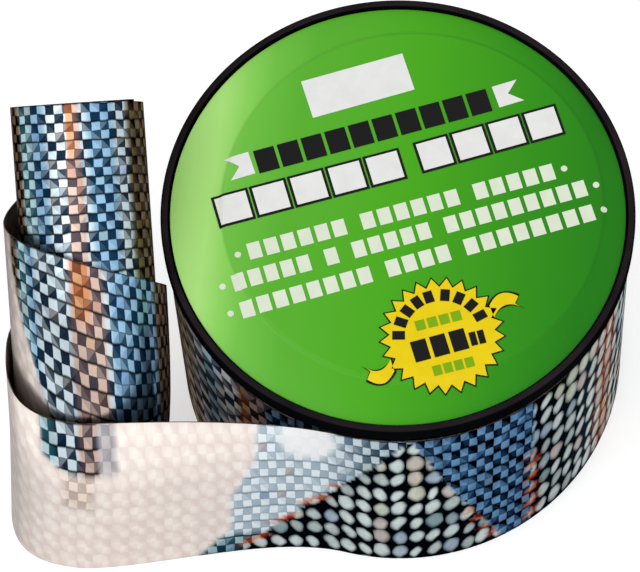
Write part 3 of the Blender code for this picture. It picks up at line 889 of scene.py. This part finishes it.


# Round the ringlet's upper and lower turns, by how far a facet faces left of the front, in turns.
# The looks by facing are painted reflection: the hues and shades the film throws back at each facing
UPPER_COLUMNS = bands((OLIVE, -0.25, -0.155), (CHECKS, -0.135, -0.115), (SKY_CHECKS, -0.095, -0.045),
                      (CHECKS, -0.032, -0.022), (MAUVE, -0.016), (COPPER, 0.0, 0.01), (CHECKS, 0.016, 0.06),
                      (SKY_CHECKS, 0.075, 0.1), (SEA_CHECKS, 0.115, 0.14), (BROWN, 0.165, 0.25))
LOWER_COLUMNS = bands((OLIVE, -0.25, -0.175), (SKY_CHECKS, -0.155, -0.06), (CHECKS, -0.048), (MAUVE, -0.038, 0.02),
                      (CHECKS, 0.03, 0.09), (SKY_CHECKS, 0.11), (SEA_CHECKS, 0.125, 0.14), (BROWN, 0.155, 0.25))
# Round the spool, in degrees from +X; painted reflection by facing, as on the ringlet
TURN_COLUMNS = bands((BEADS, 0, 9), (EMBER, 13), (BLUE_TILES, 18), (BEADS, 60), (BLUE_TILES, 90), (MAUVE, 112),
                     (BEADS, 122), (SKY_CHECKS, 150), (OLIVE, 175, 192), (PALE_BROWN, 196, 201),
                     (PALE_CHECKS, 205, 207), (PALE_SKY, 210, 214), (PALE_CHECKS, 216, 222), (COPPER, 223.5, 225.5),
                     (MAUVE, 227, 231), (SKY_CHECKS, 232.5), (GREY_TILES, 252, 262), (BEADS, 270, 360))
# Across the dark patch at the top of the band's left end, in turns of the ringlet; painted reflection by facing, as on
# the ringlet
PATCH_COLUMNS = bands((MAUVE, 0.0, 0.02), (CHECKS, 0.03, 0.065), (SEA_CHECKS, 0.08))

# Where the front's parts begin, in mm along the film from the turn's start; the part washed out by painted reflection,
# by height
FLECKS_FROM, FLECK_LINE, FLECKS_TO = 164, 168, 172
TILES_FROM = 185.8
WASHED_FROM = ((0, 10, 25, 38, 51), (239.3, 234.5, 234.2, 230.6, 229.7))
# Where the painted reflection washes out the ringlet's lower turns, in turns left of the front, by facets below the
# top edge
CURL_WASHED_FROM = ((3, 7.5, 12.8, 16, 19.5), (0.175, 0.151, 0.0975, 0.0655, 0.02))


def blend(first, second, share):
    """A look part of the way from one to the other."""
    share = float(smooth_step(share))
    return tuple(tuple(a + (b - a) * share for a, b in zip(*parts)) for parts in zip(first, second))


def look_along(table, at):
    """The look at a place in a table of (place, look)."""
    if at <= table[0][0]:
        return table[0][1]
    for (low, first), (high, second) in zip(table, table[1:]):
        if at <= high:
            return blend(first, second, (at - low) / (high - low))
    return table[-1][1]


def look_of_turn(angle):
    """The look round the spool, at an angle from +X."""
    return look_along(TURN_COLUMNS, angle % (2 * math.pi) / DEG)


def look_of_front(along, up):
    """The look of the turn's front and of the free run; along in mm from the turn's start, up in mm."""
    tiles_end = 205.5 - (49 - up) * 0.29
    beads_end = 232 - 0.533 * (up - 2.4)
    washed_from = np.interp(up, *WASHED_FROM)

    def flecks(line, width, below=30):
        """How red the flecks are along a line, up to a height."""
        spotty = 0.5 + 0.7 * math.sin(1.15 * up + 0.8 * along)
        return spotty - abs(along - line) / width if up < below else 0.0

    if along > washed_from + 0.6:
        return WASHED
    if along > beads_end:
        here = blend(GREY_TILES, HAZE, (along - 208) / 14)
        here = blend(here, SEA_CHECKS, (10 - up) / 5)
        glare = max(0.0, 1 - math.hypot((along - 222) / 5.5, (up - 47) / 9))
        here = blend(here, GLARE, glare * 2.4)
        here = blend(here, EMBER, flecks(beads_end, 2))
        return blend(here, WASHED, (along - washed_from + 0.6) / 1.2)
    if along > tiles_end:
        return blend(BEADS, EMBER, max(flecks(beads_end, 2), flecks(tiles_end, 2.6, below=18)))
    if along > TILES_FROM:
        return blend(BLUE_TILES, EMBER, flecks(TILES_FROM, 2.4))
    if along > FLECKS_TO:
        return blend(BEADS, EMBER, flecks(TILES_FROM, 2.4))
    if along > FLECKS_FROM:
        return blend(BEADS, EMBER, flecks(FLECK_LINE, 5, below=math.inf))
    return look_of_turn(TURN_START - along * MM / TURN_RADIUS)


def look_of_patch(around, turn, count):
    """The dark patch at the top of the band's left end, over the look around it.

    Turn is in turns round the ringlet, and count in facets below the film's top edge. Beside the patch
    lies a faded one, and below it a faint one.
    """
    faint = max(abs(turn - 0.03) / 0.035, abs(count - 6.2) / 2.2)
    around = blend(FAINT, around, (faint - 0.6) / 0.5)
    faded = max(abs(turn + 0.025) / 0.03, (count - 1.0) / 4.2)
    around = blend(FADED, around, (faded - 0.5) / 0.5)
    edge = max(abs(turn - 0.043) / 0.058, (count + max(0.0, turn - 0.05) * 25 - 0.5) / 4.1)
    return blend(look_along(PATCH_COLUMNS, turn), around, (edge - 0.85) / 0.2)


def look_of_curl(turn, count):
    """The look of the ringlet at a turn, and so many facets below the film's top edge."""
    if turn < 0.45:
        return look_of_patch(blend(WASHED_DIM, WASHED, (0.3 - turn) / 0.12), turn, count)
    facing = turn - round(turn)
    if turn >= 1.5:
        here = look_along(UPPER_COLUMNS, facing)
        return blend(here, MAUVE, (count - 4.5) / 3) if abs(facing) < 0.018 else here
    here = look_along(LOWER_COLUMNS, facing)
    if abs(facing) < 0.017:
        here = blend(COPPER, here, (count - 3.5) / 3)
    return blend(here, WASHED_DIM, (facing - np.interp(count, *CURL_WASHED_FROM) + 0.006) / 0.012)


def paint_looks(mesh, looks):
    """Stores a look at every vertex."""
    for name, values in zip(("lit", "unlit", "cut"), zip(*looks)):
        layer = mesh.attributes.new(name, "FLOAT_COLOR", "POINT")
        layer.data.foreach_set("color", np.array([(*value, 1.0) for value in values], dtype=np.float32).ravel())


def film_rows():
    """Rows of points across the loose film, each with its facet counts and its looks."""
    ringlet = Ringlet()
    steps = round(LAST_TURN * RINGLET_STEPS_PER_TURN)
    turns = [LAST_TURN * step / steps for step in range(steps + 1)]
    curl = [ringlet.row(turn) for turn in turns]
    ways = [(after - point) / np.linalg.norm(after - point) for point, after in zip(curl[0][0], curl[1][0])]
    spool = [turn_row(step / TURN_STEPS) for step in range(TURN_STEPS + 1)]
    leaving = np.array([math.sin(TURN_LEAVES), -math.cos(TURN_LEAVES), 0.0])
    run = [run_row(spool[-1], leaving, curl[0][0], ways, step / RUN_STEPS) for step in range(1, RUN_STEPS)]
    rows = spool + run + [points for points, _ in curl]

    middle = np.array([row[WIDTH_STEPS // 2] for row in rows])
    along = np.concatenate([[0.0], np.cumsum(np.linalg.norm(np.diff(middle, axis=0), axis=1))])
    angle = (TURN_START - along / TURN_RADIUS) / DEG
    longer = (1 + SIDE_STRETCH * smooth_step((STRETCH_STARTS - angle) / (STRETCH_STARTS - STRETCH_FULL))
              * smooth_step((angle - STRETCH_ENDS) / (STRETCH_FADES - STRETCH_ENDS)))
    columns = np.concatenate([[0.0], np.cumsum(np.diff(along) / longer[1:])])
    columns = (columns - columns[len(spool)] + along[len(spool)]) / FACET
    upright = (1 - np.linspace(0, 1, WIDTH_STEPS + 1)) * TAPE_WIDTH / UPRIGHT_FACET
    counts, looks = [], []
    first = len(spool) + len(run)
    for index, row in enumerate(rows):
        share = smooth_step((index - TURN_STEPS) / RUN_STEPS)
        counts.append(curl[max(index - first, 0)][1] * share + upright * (1 - share))
        if index >= first:
            looks.append([look_of_curl(turns[index - first], count) for count in counts[-1]])
            continue
        before = (along[index] - along[first]) / (2 * math.pi * RINGLET_RADIUS)
        looks.append([look_of_patch(look_of_front(along[index] / MM, point[2] / MM), before, count)
                      for point, count in zip(row, counts[-1])])
    return rows, along, columns, counts, looks


def make_loose_film(surface, edges):
    """The last turn, the free run and the ringlet, as one unbroken strip of film."""
    rows, along, columns, counts, looks = film_rows()
    clear_selection()
    bpy.ops.mesh.primitive_grid_add(x_subdivisions=len(rows) - 1, y_subdivisions=WIDTH_STEPS, size=2)
    film = start_piece("loose_film")
    clear_selection()
    mesh = film.data
    where = [(round((vertex.co.x + 1) / 2 * (len(rows) - 1)), round((vertex.co.y + 1) / 2 * WIDTH_STEPS))
             for vertex in mesh.vertices]
    facets = mesh.uv_layers[0]
    facets.name = "facets"
    for corner in mesh.loops:
        index, step = where[corner.vertex_index]
        facets.data[corner.index].uv = (columns[index], counts[index][step])
    paint_looks(mesh, [looks[index][step] for index, step in where])
    mesh.vertices.foreach_set("co", np.array([rows[index][step] for index, step in where]).ravel())
    mesh.update()
    mesh.materials.append(surface)
    mesh.materials.append(edges)
    apply_modifier(film, "SOLIDIFY", thickness=FILM, offset=0.0, use_even_offset=True, material_offset_rim=1)
    finish_piece(film, surface, "loose_tape", 60 * DEG)
    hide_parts("tape_loose_end")
    print(f"Loose film: {along[-1] / MM:.0f} mm long")


# Studio

def make_floor():
    """White floor that keeps the object's shadow and looks as bright as the backdrop."""
    clear_selection()
    bpy.ops.mesh.primitive_plane_add(size=8, location=(0, 0, 0))
    floor = bpy.context.object
    floor.name = "floor"
    finish = Finish("white_floor", 0.9)
    matt = finish.node("ShaderNodeBsdfDiffuse", {"Color": (0.8, 0.8, 0.8, 1)}).outputs[0]
    glow = finish.node("ShaderNodeEmission", {"Strength": 0.52}).outputs[0]
    finish.surface("Material Output", matt, finish.node("ShaderNodeAddShader", {0: matt, 1: glow}).outputs[0])
    floor.data.materials.append(finish.material)


def make_backdrop():
    """White surroundings, softer where they light the object."""
    world = bpy.data.worlds.new("white_room")
    bpy.context.scene.world = world
    world.use_nodes = True
    nodes = Nodes(world.node_tree)
    soft, white = (nodes.node("ShaderNodeBackground", {"Color": (1, 1, 1, 1), "Strength": strength}).outputs[0]
                   for strength in (0.54, 1.0))
    nodes.surface("World Output", soft, white)


def make_lamp(name, place, size, power):
    """A soft square lamp aimed at the roll."""
    lamp = bpy.data.lights.new(name, "AREA")
    lamp.size = size
    lamp.energy = power
    made = bpy.data.objects.new(name, lamp)
    made.location = place
    made.rotation_euler = (Vector((0, 0, 0.03)) - Vector(place)).to_track_quat("-Z", "Y").to_euler()
    bpy.context.collection.objects.link(made)


def make_camera():
    """The photograph's view: from above and in front, with a long lens."""
    lens = bpy.data.cameras.new("camera")
    lens.lens = 206.4
    lens.sensor_width = 36
    lens.sensor_fit = "HORIZONTAL"
    lens.clip_start = 0.01
    camera = bpy.data.objects.new("camera", lens)
    right, up, back = (0.9977, -0.0625, -0.0268), (0.068, 0.9168, 0.3935), (0, -0.3944, 0.9189)
    turned = Matrix((right, up, back)).transposed().to_4x4()
    camera.matrix_world = Matrix.Translation(mm(-12.5, -228.9, 562.5)) @ turned
    bpy.context.collection.objects.link(camera)
    bpy.context.scene.camera = camera


def main():
    """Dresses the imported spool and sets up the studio."""
    make_camera()
    black, film = moulded_black(), facet_film()
    make_rear_flange(black)
    make_front_flange(black)
    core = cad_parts["core_tube"].data.materials
    core.clear()
    core.append(brown_board())
    make_winding(film, wound_edges())
    label = make_label(printed_green())
    make_print(label)
    make_loose_film(film, film_edge())
    make_floor()
    make_backdrop()
    make_lamp("key", (-0.3, -0.1, 0.62), 0.55, 1.3)
    make_lamp("fill", (0.3, -0.6, 0.6), 1.2, 1.9)
    bpy.context.scene.view_settings.view_transform = "Standard"


main()
